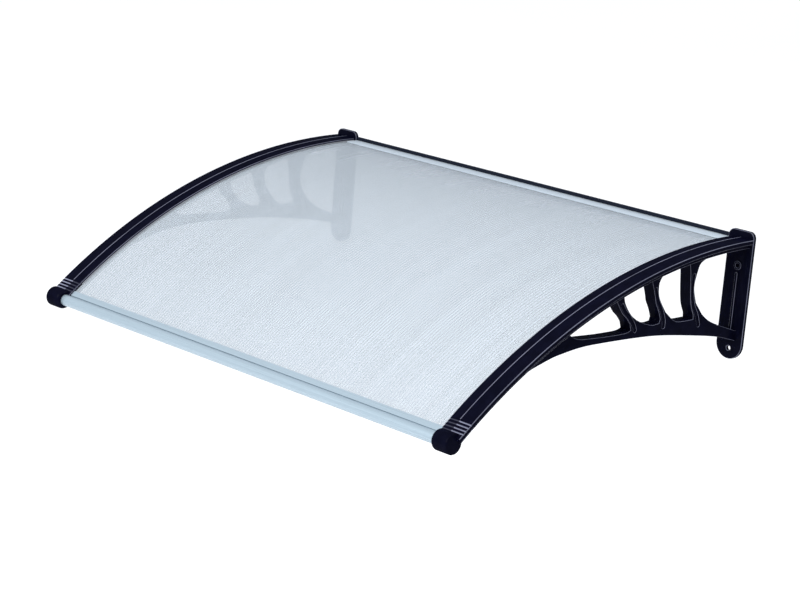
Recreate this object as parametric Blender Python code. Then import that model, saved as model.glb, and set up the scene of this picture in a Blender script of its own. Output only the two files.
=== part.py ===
"""A door canopy: two moulded wall brackets that carry a curved twin-wall sheet.

Lengths are in millimetres here and become metres where a mesh is made. The origin is on the wall plane, at the
middle of the rear bar's back face. X runs along the wall, Y runs into the wall and Z runs up. `u` is the distance
outwards from a bracket's ridge line, `depth` the distance below the ridge and `reach` the distance from the wall.
"""

import math

import bmesh
import bpy
from mathutils import Matrix, Vector

MM = 0.001
GAP = 0.3  # clearance between pieces that touch
OVERCUT = 5.0  # how far a cutting shape reaches past what it cuts

# Overall
RIDGE_SPACING = 952.0  # from one bracket's ridge line to the other's
RIDGE_RADIUS = 1050.0  # of the ridge line, seen from the side
CENTRE_BEHIND_WALL = 10.0  # how far the middle of that circle lies inside the wall
RIDGE_AT_WALL = 13.0  # height of the ridge line at the wall
RAIL_END_ANGLE = 37.92  # where the rail stops, from the vertical
NOSE_ANGLE = 40.1  # where the round nose has its axis
ARC_STEPS = 16
WEB_END_CLEARANCE = 0.8  # between the web's front end and the rail's

# Wall plate
PLATE_WIDTH = 52.0
PLATE_THICKNESS = 6.5
PLATE_TOP = 24.0
PLATE_BOTTOM = -193.0
PLATE_TOP_ROUNDING = 11.0
CORNER_STEPS = 6
SCREW_HOLE = 8.0
HOLE_STEPS = 24
LOWER_HOLE_HEIGHT = -175.0
UPPER_HOLE_HEIGHT = -35.0
HOLE_RIM = 15.0
HOLE_RIM_HEIGHT = 1.6
RIB_WIDTH = 5.0
RIB_HEIGHT = 2.6
RIB_TOP = -46.0
RIB_BOTTOM = -150.0

# Rail
SHELF_DEPTH = 11.5
SHELF_THICKNESS = 3.9
SHELF_INNER = 18.5
WALL_OUTER = 19.5
WALL_THICKNESS = 3.0
WALL_TOP_DEPTH = 6.8
WEB_WIDTH = 22.0
WEB_DEPTH_REAR = 18.0
WEB_DEPTH_FRONT = 22.0

# The web is given by points of (reach, drop below the ridge line), so that it follows the ridge's arc.
# Arm: its lower edge from the wall to where it joins the rail
ARM_LOWER_EDGE = ((0, 175), (55, 159), (129, 141), (203, 120), (262, 103), (348, 75), (395, 58), (439, 44),
                  (461, 37.5), (500, 28))
ARM_TOE_REACH = 516.0

# Openings of the bracket: the side ahead from the rail down, the lower side, and the side behind from the arm up
OPENINGS = {
    "front": (((422, 22.5), (408, 36), (392, 46.5)), ((340, 68.5), (292, 84), (277, 85)),
              ((281, 73), (290, 61), (302, 47.5), (313, 30), (318, 21))),
    "middle": (((301, 20.7), (297, 33), (288, 48), (278, 61), (265, 73)), ((252, 82), (227, 95), (209, 98)),
               ((207, 92), (211, 81.5), (217, 70), (222, 61), (226, 48), (233, 30), (237, 20))),
    "rear": (((211, 19.7), (218, 30), (217, 46), (211, 60.5), (195, 84)), ((176, 102), (160, 110), (123, 115.5)),
             ((124, 108), (133, 89), (138, 64.5), (142, 36), (146, 19.2))),
    "wall": (((104, 18.8), (118, 24), (124, 35), (129, 61), (120, 89)), ((101, 112), (81, 127), (53, 140)),
             ((4, 157), (4, 113), (4, 63), (4, 18.2))),
}
OPENING_STEPS = 2
OPENING_MARGIN = 4.0  # from an opening's sides to the first station along its upper edge

# Recess in both sides of each strut: its middle line, and half its width
STRUT_RECESSES = {
    "front": ((304, 34), (295, 48), (284, 61), (272, 78), (267, 89)),
    "middle": ((225, 38), (218, 57), (206, 78), (198, 96), (197, 107)),
    "rear": ((133, 41), (133, 65), (127, 90), (115, 111), (108, 128)),
}
RECESS_HALF_WIDTH = 3.6
RECESS_DEEP = 1.6

# Cover strip and its seal
ROOF_INNER = 20.0
ROOF_OUTER = 25.5
RIDGE_BEAD_HEIGHT = 0.6  # the raised line on top
RIDGE_BEAD_WIDTH = 2.0
INNER_FALL = 1.2
OUTER_FALL = 0.3
ROOF_UNDERSIDE = 4.6
STRIP_SIDE_DEPTH = 8.0
STRIP_SIDE_THICKNESS = 2.6
SPACER_INNER = 1.0
SPACER_OUTER = 16.0
SEAL_INNER = 22.0
SEAL_OUTER = 12.0
SEAL_THICKNESS = 1.0

# Sheet
SHEET_TOP_DEPTH = 6.2
SHEET_THICKNESS = 5.0
SHEET_EDGE_INSIDE = 1.5  # from the ridge line inwards to the sheet's side edge
SHEET_REAR_REACH = PLATE_THICKNESS + 2 * GAP
SHEET_SKIN = 0.6
CHANNELS = 38
CHANNEL_WALL = 0.9

# Front cap and front bar, measured from the nose axis
CAP_BODY_END = -8.0
NOSE_DEPTH = 6.0
NOSE_RADIUS = 17.0
NOSE_INNER = 15.4
NOSE_OUTER = 18.5
NOSE_INNER_ROUNDING = 6.0
NOSE_OUTER_ROUNDING = 2.5
GROOVES = 4
GROOVE_PITCH = 6.4
FRONT_GROOVE = 17.6  # from the nose axis back to the front groove
GROOVE_WIDTH = 1.6
GROOVE_DEEP = 0.9
SOCKET_END = 13.5
BEAD_DEPTH = 7.5
BEAD_RADIUS = 9.75
BEAD_BORE = 7.6
LIP_THICKNESS = 1.7
UPPER_LIP_LENGTH = 22.0
LOWER_LIP_LENGTH = 18.0
LIP_BEVEL = 0.5
SLOT_END = 12.4
BAR_GROOVE = 1.6  # width of the groove between the upper lip and the bead
BAR_GROOVE_DEEP = 2.2
BEAD_SHOULDER = 0.4  # from that groove to the bead's round
ROUND_STEPS = 32
BEAD_STEPS = 26

# Rear bar and wall seal
BAR_BACK_THICKNESS = 3.0
BAR_BOTTOM = -8.7
REAR_LIP_REACH = 30.0
REAR_LIP_THICKNESS = 1.5
WALL_SEAL_THICKNESS = 4.2
WALL_SEAL_HEIGHT = 5.8
WALL_SEAL_BEVEL = 1.0
BAR_END_CLEARANCE = 0.5

# Screws that hold the cover strips
SCREW_SHARES = (0.09, 0.26, 0.56, 0.86)  # of the way from the wall to the rail's end
SCREW_U = 5.6
SCREW_SHANK = 3.5
SCREW_HEAD = 6.6
SCREW_HEAD_HEIGHT = 2.2
SCREW_SEAT_DEPTH = 15.4
SCREW_TIP_DEPTH = 6.6
SCREW_SLOT_LENGTH = 4.0
SCREW_SLOT_WIDTH = 1.0
SCREW_SLOT_DEEP = 1.1
SCREW_SEGMENTS = 16

SIDES = {"left": -1, "right": 1}


def material(name, colour, roughness, metallic=0.0, alpha=1.0):
    made = bpy.data.materials.new(name)
    made.use_nodes = True
    shader = made.node_tree.nodes["Principled BSDF"]
    shader.inputs["Base Color"].default_value = (*colour, 1)
    shader.inputs["Roughness"].default_value = roughness
    shader.inputs["Metallic"].default_value = metallic
    shader.inputs["Alpha"].default_value = alpha
    made.diffuse_color = (*colour, alpha)
    return made


def new_object(name, mesh_builder, surface=None, smooth_angle=30):
    """An object from a bmesh in millimetres, with its faces turned outwards."""
    bmesh.ops.recalc_face_normals(mesh_builder, faces=mesh_builder.faces)
    bmesh.ops.scale(mesh_builder, vec=(MM, MM, MM), verts=mesh_builder.verts)
    mesh = bpy.data.meshes.new(name)
    mesh_builder.to_mesh(mesh)
    mesh_builder.free()
    made = bpy.data.objects.new(name, mesh)
    bpy.context.scene.collection.objects.link(made)
    if surface:
        mesh.materials.append(surface)
    mesh.shade_smooth()
    mesh.set_sharp_from_angle(angle=math.radians(smooth_angle))
    return made


def combine(target, operation, tools):
    """Joins the tools to the target or cuts them from it, and removes them."""
    for tool in tools:
        change = target.modifiers.new(operation, "BOOLEAN")
        change.operation = operation
        change.solver = "EXACT"
        change.object = tool
        graph = bpy.context.evaluated_depsgraph_get()
        mesh = bpy.data.meshes.new_from_object(target.evaluated_get(graph))
        target.modifiers.remove(change)
        target.data = mesh
        bpy.data.objects.remove(tool)
    return target


def prism(name, outline, start, end, axis="X", surface=None):
    """A closed outline pushed along X, from (y, z) points, or along Y, from (x, z) points."""
    builder = bmesh.new()
    rings = []
    for along in (start, end):
        places = [(along, a, b) if axis == "X" else (a, along, b) for a, b in outline]
        rings.append([builder.verts.new(place) for place in places])
    for ring in rings:
        builder.faces.new(ring)
    for i, corner in enumerate(rings[0]):
        j = (i + 1) % len(outline)
        builder.faces.new((corner, rings[0][j], rings[1][j], rings[1][i]))
    return new_object(name, builder, surface)


def smooth_line(points, steps):
    """Points on a smooth curve through the given ones."""
    given = [Vector(p) for p in points]
    line = []
    for i in range(len(given) - 1):
        before = given[max(i - 1, 0)]
        after = given[min(i + 2, len(given) - 1)]
        for k in range(steps):
            t = k / steps
            line.append(0.5 * (2 * given[i] + (given[i + 1] - before) * t
                               + (2 * before - 5 * given[i] + 4 * given[i + 1] - after) * t * t
                               + (3 * given[i] - before - 3 * given[i + 1] + after) * t ** 3))
    return line + [given[-1]]


def circle(radius, segments, centre=(0.0, 0.0)):
    return [(centre[0] + radius * math.cos(math.tau * k / segments),
             centre[1] + radius * math.sin(math.tau * k / segments)) for k in range(segments)]


# The curve that every long piece follows

def on_arc(angle, depth):
    """The (y, z) point at an angle from the vertical and a depth below the ridge."""
    radius = RIDGE_RADIUS - depth
    return Vector((CENTRE_BEHIND_WALL - radius * math.sin(angle),
                   RIDGE_AT_WALL - RIDGE_RADIUS + radius * math.cos(angle)))


def angle_at(reach, depth=0.0):
    return math.asin((reach + CENTRE_BEHIND_WALL) / (RIDGE_RADIUS - depth))


WALL_ANGLE = angle_at(PLATE_THICKNESS + GAP)
RAIL_END = math.radians(RAIL_END_ANGLE)
NOSE = math.radians(NOSE_ANGLE)
STATIONS = [WALL_ANGLE + (RAIL_END - WALL_ANGLE) * i / ARC_STEPS for i in range(ARC_STEPS + 1)] + [NOSE]


def on_facets(angle, depth):
    """Like on_arc, but on the straight facets between the stations, so that pieces nest without touching."""
    for start, end in zip(STATIONS, STATIONS[1:]):
        if angle <= end or end == STATIONS[-1]:
            break
    a, b = on_arc(start, depth), on_arc(end, depth)
    return a + (b - a) * ((angle - start) / (end - start))


def from_nose(along, depth):
    """The (y, z) point a distance along the last facet from the nose axis, negative towards the wall."""
    a, b = on_arc(STATIONS[-2], depth), on_arc(STATIONS[-1], depth)
    return b + (b - a).normalized() * along


def at_reach(reach, depth):
    """The facet point at a distance from the wall, for pieces near it."""
    a, b = on_arc(STATIONS[0], depth), on_arc(STATIONS[1], depth)
    return a + (b - a) * ((-reach - a.x) / (b.x - a.x))


def sweep(name, section, rings, side, surface=None):
    """A section of (u, depth) points, carried along the rings by a function from depth to (y, z)."""
    builder = bmesh.new()
    made = []
    for ring in rings:
        corners = []
        for u, depth in section:
            y, z = ring(depth)
            corners.append(builder.verts.new((side * (RIDGE_SPACING / 2 + u), y, z)))
        made.append(corners)
    builder.faces.new(made[0])
    builder.faces.new(made[-1])
    for first, second in zip(made, made[1:]):
        for i, corner in enumerate(first):
            j = (i + 1) % len(section)
            builder.faces.new((corner, first[j], second[j], second[i]))
    return new_object(name, builder, surface)


def arc_rings(end_shift=0.0):
    """Rings at every station of the rail, with the last one drawn back."""
    angles = STATIONS[:-2] + [RAIL_END - end_shift / RIDGE_RADIUS]
    return [lambda depth, angle=angle: on_facets(angle, depth) for angle in angles]


def nose_rings(start, end):
    return [lambda depth, along=along: from_nose(along, depth) for along in (start, end)]


RAIL_TO_NOSE = (on_arc(NOSE, 0) - on_arc(RAIL_END, 0)).length


def web_depth(angle):
    share = (angle - WALL_ANGLE) / (RAIL_END - WALL_ANGLE)
    return WEB_DEPTH_REAR + (WEB_DEPTH_FRONT - WEB_DEPTH_REAR) * share


def below_ridge(points):
    """(reach, drop) points as (y, z)."""
    return [(-reach, on_arc(angle_at(reach), 0).y - drop) for reach, drop in points]


def web_outline():
    """The whole side of the bracket's web: along the shelf, down the front, back under the rail and the arm."""
    angles = STATIONS[:-2] + [RAIL_END - WEB_END_CLEARANCE / RIDGE_RADIUS]
    inside = SHELF_DEPTH + SHELF_THICKNESS / 2
    top = [tuple(on_facets(angle, inside)) for angle in angles]
    start = (-PLATE_THICKNESS / 2, at_reach(PLATE_THICKNESS / 2, inside)[1])
    toe = angle_at(ARM_TOE_REACH, WEB_DEPTH_FRONT)
    under = [tuple(on_facets(angle, web_depth(angle))) for angle in reversed(angles) if angle > toe]
    lower = [tuple(p) for p in smooth_line(below_ridge(ARM_LOWER_EDGE), 2)]
    lower[0] = (-PLATE_THICKNESS / 2, lower[0][1])
    return [start, *top, *under, *reversed(lower)]


def opening_outline(front, lower, rear):
    """A closed outline: down the strut ahead, along the arm, up the strut behind and back under the rail."""
    down = smooth_line(below_ridge(front), OPENING_STEPS)
    across = smooth_line(below_ridge(lower), OPENING_STEPS)
    up = smooth_line(below_ridge(rear), OPENING_STEPS)
    last = angle_at(OPENING_MARGIN - up[-1].x, WEB_DEPTH_REAR)
    first = angle_at(-down[0].x - OPENING_MARGIN, WEB_DEPTH_REAR)
    top = [tuple(on_facets(angle, web_depth(angle))) for angle in STATIONS if last < angle < first]
    return [tuple(p) for p in (*down, *across, *up)] + top


def recess_outline(middle):
    """A band of constant width round a strut's middle line, with a round foot."""
    line = smooth_line(below_ridge(middle), 2)
    left, right = [], []
    for i, point in enumerate(line):
        along = (line[min(i + 1, len(line) - 1)] - line[max(i - 1, 0)]).normalized()
        across = Vector((-along.y, along.x)) * RECESS_HALF_WIDTH
        left.append(tuple(point + across))
        right.append(tuple(point - across))
    along = (line[-1] - line[-2]).normalized()
    side = Vector((-along.y, along.x)) * RECESS_HALF_WIDTH
    foot = [tuple(line[-1] + Matrix.Rotation(-math.pi * k / 6, 2) @ side) for k in range(1, 6)]
    return left + foot + right[::-1]


def plate_outline(middle):
    """The plate seen from the front: round corners at the top and a round bottom."""
    half, r = PLATE_WIDTH / 2, PLATE_TOP_ROUNDING
    outline = []
    for corner, start in ((middle + half - r, 0), (middle - half + r, math.pi / 2)):
        for k in range(CORNER_STEPS + 1):
            angle = start + math.pi / 2 * k / CORNER_STEPS
            outline.append((corner + r * math.cos(angle), PLATE_TOP - r + r * math.sin(angle)))
    for k in range(3 * CORNER_STEPS + 1):
        angle = math.pi + math.pi * k / (3 * CORNER_STEPS)
        outline.append((middle + half * math.cos(angle), PLATE_BOTTOM + half + half * math.sin(angle)))
    return outline


def screw_place(share):
    """Where a strip screw's axis crosses the ridge line, and the direction that it points up in."""
    angle = WALL_ANGLE + (RAIL_END - WALL_ANGLE) * share
    for start, end in zip(STATIONS, STATIONS[1:]):
        if start <= angle <= end:
            break
    along = (on_arc(end, 0) - on_arc(start, 0)).normalized()
    return on_facets(angle, 0), Vector((along.y, -along.x))


def upright(name, radius, low, high, share, side, surface=None, segments=SCREW_SEGMENTS):
    """A cylinder between two depths, square to the rail at a share of its length."""
    place, up = screw_place(share)
    builder = bmesh.new()
    rings = []
    for depth in (low, high):
        ring = []
        for a, b in circle(radius, segments):
            spot = place - up * depth + Vector((-up.y, up.x)) * b
            ring.append(builder.verts.new((side * (RIDGE_SPACING / 2 + SCREW_U) + a, spot.x, spot.y)))
        rings.append(ring)
        builder.faces.new(ring)
    for i in range(segments):
        j = (i + 1) % segments
        builder.faces.new((rings[0][i], rings[0][j], rings[1][j], rings[1][i]))
    return new_object(name, builder, surface)


def build_bracket(label, side, surface):
    middle = side * RIDGE_SPACING / 2
    low, high = middle - WEB_WIDTH / 2, middle + WEB_WIDTH / 2
    web = prism("bracket_" + label, web_outline(), low, high, surface=surface)
    cells = [prism("opening", opening_outline(*points), low - OVERCUT, high + OVERCUT)
             for points in OPENINGS.values()]
    combine(web, "DIFFERENCE", cells)
    recesses = []
    for points in STRUT_RECESSES.values():
        outline = recess_outline(points)
        recesses.append(prism("recess", outline, low - OVERCUT, low + RECESS_DEEP))
        recesses.append(prism("recess", outline, high - RECESS_DEEP, high + OVERCUT))
    combine(web, "DIFFERENCE", recesses)
    shelf_bottom = SHELF_DEPTH + SHELF_THICKNESS
    section = [(-SHELF_INNER, SHELF_DEPTH), (WALL_OUTER - WALL_THICKNESS, SHELF_DEPTH),
               (WALL_OUTER - WALL_THICKNESS, WALL_TOP_DEPTH), (WALL_OUTER, WALL_TOP_DEPTH),
               (WALL_OUTER, shelf_bottom), (-SHELF_INNER, shelf_bottom)]
    into_plate = [lambda depth: at_reach(PLATE_THICKNESS / 2 + GAP, depth)]
    rail = sweep("rail", section, into_plate + arc_rings(GAP), side)
    plate = prism("plate", plate_outline(middle), -PLATE_THICKNESS, 0, axis="Y")
    rim = prism("rim", circle(HOLE_RIM / 2, HOLE_STEPS, (middle, UPPER_HOLE_HEIGHT)),
                -PLATE_THICKNESS - HOLE_RIM_HEIGHT, -PLATE_THICKNESS / 2, axis="Y")
    half = RIB_WIDTH / 2
    rib_outline = [(middle + half * math.cos(math.pi * k / 8), RIB_TOP - half + half * math.sin(math.pi * k / 8))
                   for k in range(9)] + [(middle - half, RIB_BOTTOM), (middle + half, RIB_BOTTOM)]
    rib = prism("rib", rib_outline, -PLATE_THICKNESS - RIB_HEIGHT, -PLATE_THICKNESS / 2, axis="Y")
    combine(web, "UNION", [rail, plate, rim, rib])
    ahead, below = -PLATE_THICKNESS - HOLE_RIM_HEIGHT - OVERCUT, WEB_DEPTH_FRONT + OVERCUT
    holes = [prism("hole", circle(SCREW_HOLE / 2, HOLE_STEPS, (middle, height)), ahead, OVERCUT, axis="Y")
             for height in (LOWER_HOLE_HEIGHT, UPPER_HOLE_HEIGHT)]
    for share in SCREW_SHARES:
        holes.append(upright("hole", SCREW_SHANK / 2 + GAP, SHELF_DEPTH - OVERCUT / 2, below, share, side))
        holes.append(upright("seat", SCREW_HEAD / 2 + GAP, SCREW_SEAT_DEPTH, below, share, side))
    combine(web, "DIFFERENCE", holes)


def build_cover_strip(label, side, surface):
    strip_foot = SHELF_DEPTH - GAP
    roof, bead = RIDGE_BEAD_HEIGHT, RIDGE_BEAD_WIDTH / 2
    side_inner = ROOF_OUTER - STRIP_SIDE_THICKNESS
    section = [(-ROOF_INNER, roof + INNER_FALL), (-bead, roof), (-bead / 2, 0), (bead / 2, 0), (bead, roof),
               (ROOF_OUTER, roof + OUTER_FALL), (ROOF_OUTER, STRIP_SIDE_DEPTH), (side_inner, STRIP_SIDE_DEPTH),
               (side_inner, ROOF_UNDERSIDE), (SPACER_OUTER, ROOF_UNDERSIDE), (SPACER_OUTER, strip_foot),
               (SPACER_INNER, strip_foot), (SPACER_INNER, ROOF_UNDERSIDE), (-ROOF_INNER, ROOF_UNDERSIDE)]
    strip = sweep("cover_strip_" + label, section, arc_rings(GAP), side, surface)
    bores = [upright("bore", SCREW_SHANK / 2 + GAP, SCREW_TIP_DEPTH - GAP, SHELF_DEPTH + OVERCUT, share, side)
             for share in SCREW_SHARES]
    combine(strip, "DIFFERENCE", bores)


def build_strip_seal(label, side, surface):
    top = ROOF_UNDERSIDE + GAP
    section = [(-SEAL_INNER, top), (-SEAL_OUTER, top), (-SEAL_OUTER, top + SEAL_THICKNESS),
               (-SEAL_INNER, top + SEAL_THICKNESS)]
    sweep("strip_seal_" + label, section, arc_rings(GAP), side, surface)


def build_screw(label, side, share, number, surface):
    seat = SCREW_SEAT_DEPTH + GAP
    name = "strip_screw_" + label + "_" + str(number)
    screw = upright(name, SCREW_SHANK / 2, SCREW_TIP_DEPTH, seat + SCREW_HEAD_HEIGHT / 2, share, side, surface)
    head = upright("head", SCREW_HEAD / 2, seat, seat + SCREW_HEAD_HEIGHT, share, side)
    combine(screw, "UNION", [head])
    slots = []
    place, up = screw_place(share)
    across = Vector((-up.y, up.x))
    middle = side * (RIDGE_SPACING / 2 + SCREW_U)
    length, half = SCREW_SLOT_LENGTH / 2, SCREW_SLOT_WIDTH / 2
    for wide, deep in ((length, half), (half, length)):
        low = place - up * (seat + SCREW_HEAD_HEIGHT + OVERCUT)
        high = place - up * (seat + SCREW_HEAD_HEIGHT - SCREW_SLOT_DEEP)
        outline = [tuple(low - across * deep), tuple(low + across * deep), tuple(high + across * deep),
                   tuple(high - across * deep)]
        slots.append(prism("slot", outline, middle - wide, middle + wide))
    combine(screw, "DIFFERENCE", slots)


def build_front_cap(label, side, surface):
    foot = SHELF_DEPTH + SHELF_THICKNESS
    half = WEB_WIDTH / 2
    inner_top, outer_top = RIDGE_BEAD_HEIGHT + INNER_FALL, RIDGE_BEAD_HEIGHT + OUTER_FALL
    section = [(-ROOF_INNER, inner_top), (0, RIDGE_BEAD_HEIGHT), (ROOF_OUTER, outer_top),
               (ROOF_OUTER, STRIP_SIDE_DEPTH), (WALL_OUTER, STRIP_SIDE_DEPTH), (WALL_OUTER, foot), (half, foot),
               (half, WEB_DEPTH_FRONT), (-half, WEB_DEPTH_FRONT), (-half, foot), (-ROOF_INNER, foot)]
    rings = [lambda depth: on_arc(RAIL_END, depth), lambda depth: from_nose(CAP_BODY_END, depth)]
    cap = sweep("front_cap_" + label, section, rings, side, surface)
    axis = from_nose(0, NOSE_DEPTH)
    builder = bmesh.new()
    profile = []
    for end, soft, order in ((-NOSE_INNER, NOSE_INNER_ROUNDING, range(5)),
                             (NOSE_OUTER, NOSE_OUTER_ROUNDING, range(4, -1, -1))):
        for k in order:
            inwards = math.copysign(soft * (1 - math.cos(math.pi / 8 * k)), end)
            profile.append((end - inwards, NOSE_RADIUS - soft * (1 - math.sin(math.pi / 8 * k))))
    rings = []
    for u, radius in profile:
        rings.append([builder.verts.new((side * (RIDGE_SPACING / 2 + u), y, z))
                      for y, z in circle(radius, ROUND_STEPS, axis)])
    builder.faces.new(rings[0])
    builder.faces.new(rings[-1])
    for first, second in zip(rings, rings[1:]):
        for i in range(ROUND_STEPS):
            j = (i + 1) % ROUND_STEPS
            builder.faces.new((first[i], first[j], second[j], second[i]))
    combine(cap, "UNION", [new_object("nose", builder)])
    inner, beyond = -ROOF_INNER - OVERCUT, SEAL_INNER + OVERCUT
    slot = [(inner, SHEET_TOP_DEPTH - GAP), (SPACER_INNER, SHEET_TOP_DEPTH - GAP), (SPACER_INNER, SHELF_DEPTH),
            (inner, SHELF_DEPTH)]
    tools = [sweep("slot", slot, nose_rings(-RAIL_TO_NOSE - OVERCUT, -BEAD_RADIUS / 2), side)]
    bead = from_nose(0, BEAD_DEPTH)
    ends = sorted((side * (RIDGE_SPACING / 2 - beyond), side * (RIDGE_SPACING / 2 + SOCKET_END)))
    tools.append(prism("socket", circle(BEAD_RADIUS + GAP, ROUND_STEPS, bead), *ends))
    floor = [(-ROOF_INNER - OVERCUT, inner_top + GROOVE_DEEP), (-ROOF_INNER, inner_top + GROOVE_DEEP),
             (0, RIDGE_BEAD_HEIGHT + GROOVE_DEEP), (ROOF_OUTER + OVERCUT, outer_top + GROOVE_DEEP)]
    band = floor + [(ROOF_OUTER + OVERCUT, -NOSE_RADIUS), (-ROOF_INNER - OVERCUT, -NOSE_RADIUS)]
    for k in range(GROOVES):
        place = -FRONT_GROOVE - GROOVE_PITCH * k
        tools.append(sweep("groove", band, nose_rings(place - GROOVE_WIDTH / 2, place + GROOVE_WIDTH / 2), side))
    combine(cap, "DIFFERENCE", tools)


def build_sheet(surface):
    """The sheet as one closed body: two skins joined by walls, with channels open at the front and the rear."""
    half = RIDGE_SPACING / 2 - SHEET_EDGE_INSIDE
    pitch = (2 * half - CHANNEL_WALL) / CHANNELS
    columns = [-half]
    for k in range(CHANNELS):
        left = -half + CHANNEL_WALL + pitch * k
        columns += [left, left + pitch - CHANNEL_WALL]
    columns.append(half)
    depths = (SHEET_TOP_DEPTH, SHEET_TOP_DEPTH + SHEET_SKIN, SHEET_TOP_DEPTH + SHEET_THICKNESS - SHEET_SKIN,
              SHEET_TOP_DEPTH + SHEET_THICKNESS)
    rings = [lambda depth: at_reach(SHEET_REAR_REACH, depth)]
    rings += [lambda depth, angle=angle: on_facets(angle, depth) for angle in STATIONS[1:-1]]
    rings.append(lambda depth: from_nose(-SLOT_END - GAP, depth))
    builder = bmesh.new()
    grid = [[[builder.verts.new((x, *ring(depth))) for depth in depths] for x in columns] for ring in rings]
    last = len(columns) - 1
    for end in (grid[0], grid[-1]):
        for i in range(last):
            levels = (0, 2) if i % 2 else (0, 1, 2)
            for j in levels:
                builder.faces.new((end[i][j], end[i + 1][j], end[i + 1][j + 1], end[i][j + 1]))
    for near, far in zip(grid, grid[1:]):
        for i in range(last):
            walls = [(i, 0, i + 1, 0), (i, 3, i + 1, 3)]
            if i % 2:
                walls += [(i, 1, i + 1, 1), (i, 2, i + 1, 2), (i, 1, i, 2), (i + 1, 1, i + 1, 2)]
            for a, b, c, d in walls:
                builder.faces.new((near[a][b], near[c][d], far[c][d], far[a][b]))
        for i in (0, last):
            for j in range(3):
                builder.faces.new((near[i][j], near[i][j + 1], far[i][j + 1], far[i][j]))
    new_object("sheet", builder, surface)


def build_front_bar(surface):
    """Two lips over and under the sheet, a narrow groove, and a hollow bead in front."""
    top = SHEET_TOP_DEPTH - GAP - LIP_THICKNESS
    bottom = SHEET_TOP_DEPTH + SHEET_THICKNESS + GAP + LIP_THICKNESS
    meets = [math.sqrt(BEAD_RADIUS ** 2 - (BEAD_DEPTH - depth) ** 2) for depth in (top, bottom)]
    start = math.atan2(BEAD_DEPTH - top, -meets[0])
    end = math.atan2(BEAD_DEPTH - bottom, -meets[1])
    groove = -meets[0] - BEAD_SHOULDER
    local = [(-UPPER_LIP_LENGTH, top + LIP_THICKNESS), (-UPPER_LIP_LENGTH + LIP_BEVEL, top),
             (groove - BAR_GROOVE, top), (groove - BAR_GROOVE, top + BAR_GROOVE_DEEP),
             (groove, top + BAR_GROOVE_DEEP), (groove, top)]
    turn = [start - (start - end) * k / BEAD_STEPS for k in range(BEAD_STEPS + 1)]
    local += [(BEAD_RADIUS * math.cos(a), BEAD_DEPTH - BEAD_RADIUS * math.sin(a)) for a in turn]
    local += [(-LOWER_LIP_LENGTH, bottom), (-LOWER_LIP_LENGTH, bottom - LIP_THICKNESS),
              (-SLOT_END, bottom - LIP_THICKNESS), (-SLOT_END, top + LIP_THICKNESS)]
    lip_end = RIDGE_SPACING / 2 - ROOF_INNER - GAP
    bead_end = RIDGE_SPACING / 2 + SOCKET_END - GAP
    lips = prism("front_bar", [tuple(from_nose(*p)) for p in local], -lip_end, lip_end, surface=surface)
    centre = from_nose(0, BEAD_DEPTH)
    tube = prism("tube", circle(BEAD_RADIUS, ROUND_STEPS, centre), -bead_end, bead_end)
    combine(lips, "UNION", [tube])
    bore = prism("bore", circle(BEAD_BORE, HOLE_STEPS, centre), -bead_end - OVERCUT, bead_end + OVERCUT)
    combine(lips, "DIFFERENCE", [bore])


def build_rear_bar(surface):
    upper = SHEET_TOP_DEPTH - GAP
    lower = SHEET_TOP_DEPTH + SHEET_THICKNESS + GAP
    outer_top, outer_bottom = upper - REAR_LIP_THICKNESS, lower + REAR_LIP_THICKNESS

    def spot(reach, depth):
        return tuple(at_reach(reach, depth))

    outline = [(0, spot(0, outer_top)[1]), spot(REAR_LIP_REACH, outer_top), spot(REAR_LIP_REACH, upper),
               spot(BAR_BACK_THICKNESS, upper), spot(BAR_BACK_THICKNESS, lower), spot(REAR_LIP_REACH, lower),
               spot(REAR_LIP_REACH, outer_bottom), spot(BAR_BACK_THICKNESS, outer_bottom),
               (-BAR_BACK_THICKNESS, BAR_BOTTOM), (0, BAR_BOTTOM)]
    half = (RIDGE_SPACING - PLATE_WIDTH) / 2 - BAR_END_CLEARANCE
    prism("rear_bar", outline, -half, half, surface=surface)
    return outline[0][1]


def build_wall_seal(bar_top, surface):
    low = bar_top + GAP
    half = (RIDGE_SPACING - PLATE_WIDTH) / 2 - BAR_END_CLEARANCE
    top = low + WALL_SEAL_HEIGHT
    outline = [(0, low), (-WALL_SEAL_THICKNESS, low), (-WALL_SEAL_THICKNESS, top - WALL_SEAL_BEVEL),
               (-WALL_SEAL_THICKNESS + WALL_SEAL_BEVEL, top), (0, top)]
    prism("wall_seal", outline, -half, half, surface=surface)


def main():
    for existing in list(bpy.data.objects):
        bpy.data.objects.remove(existing)
    plastic = material("satin navy black plastic", (0.012, 0.014, 0.022), 0.32)
    clear = material("clear polycarbonate", (0.72, 0.78, 0.84), 0.12, alpha=0.45)
    metal = material("satin aluminium", (0.62, 0.63, 0.65), 0.34, metallic=1.0)
    grey_rubber = material("grey rubber", (0.30, 0.31, 0.33), 0.7)
    dark_rubber = material("black rubber", (0.02, 0.02, 0.022), 0.75)
    steel = material("zinc plated steel", (0.55, 0.56, 0.58), 0.3, metallic=1.0)
    for label, side in SIDES.items():
        build_bracket(label, side, plastic)
        build_cover_strip(label, side, plastic)
        build_strip_seal(label, side, grey_rubber)
        build_front_cap(label, side, plastic)
        for number, share in enumerate(SCREW_SHARES, 1):
            build_screw(label, side, share, number, steel)
    build_sheet(clear)
    build_front_bar(metal)
    bar_top = build_rear_bar(metal)
    build_wall_seal(bar_top, dark_rubber)


main()
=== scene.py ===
"""A door canopy: a curved twin-wall sheet between two moulded wall brackets, laid out as an add-on.

Lengths are in millimetres until a mesh is made. X runs along the wall, Y into it and Z up. `u` is the
distance outwards from a bracket's ridge line, `depth` the distance below the ridge and `reach` the distance
from the wall.
"""

import math

import bmesh
import bpy
from bpy.props import FloatProperty, FloatVectorProperty, IntProperty, PointerProperty
from mathutils import Matrix, Vector


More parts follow.
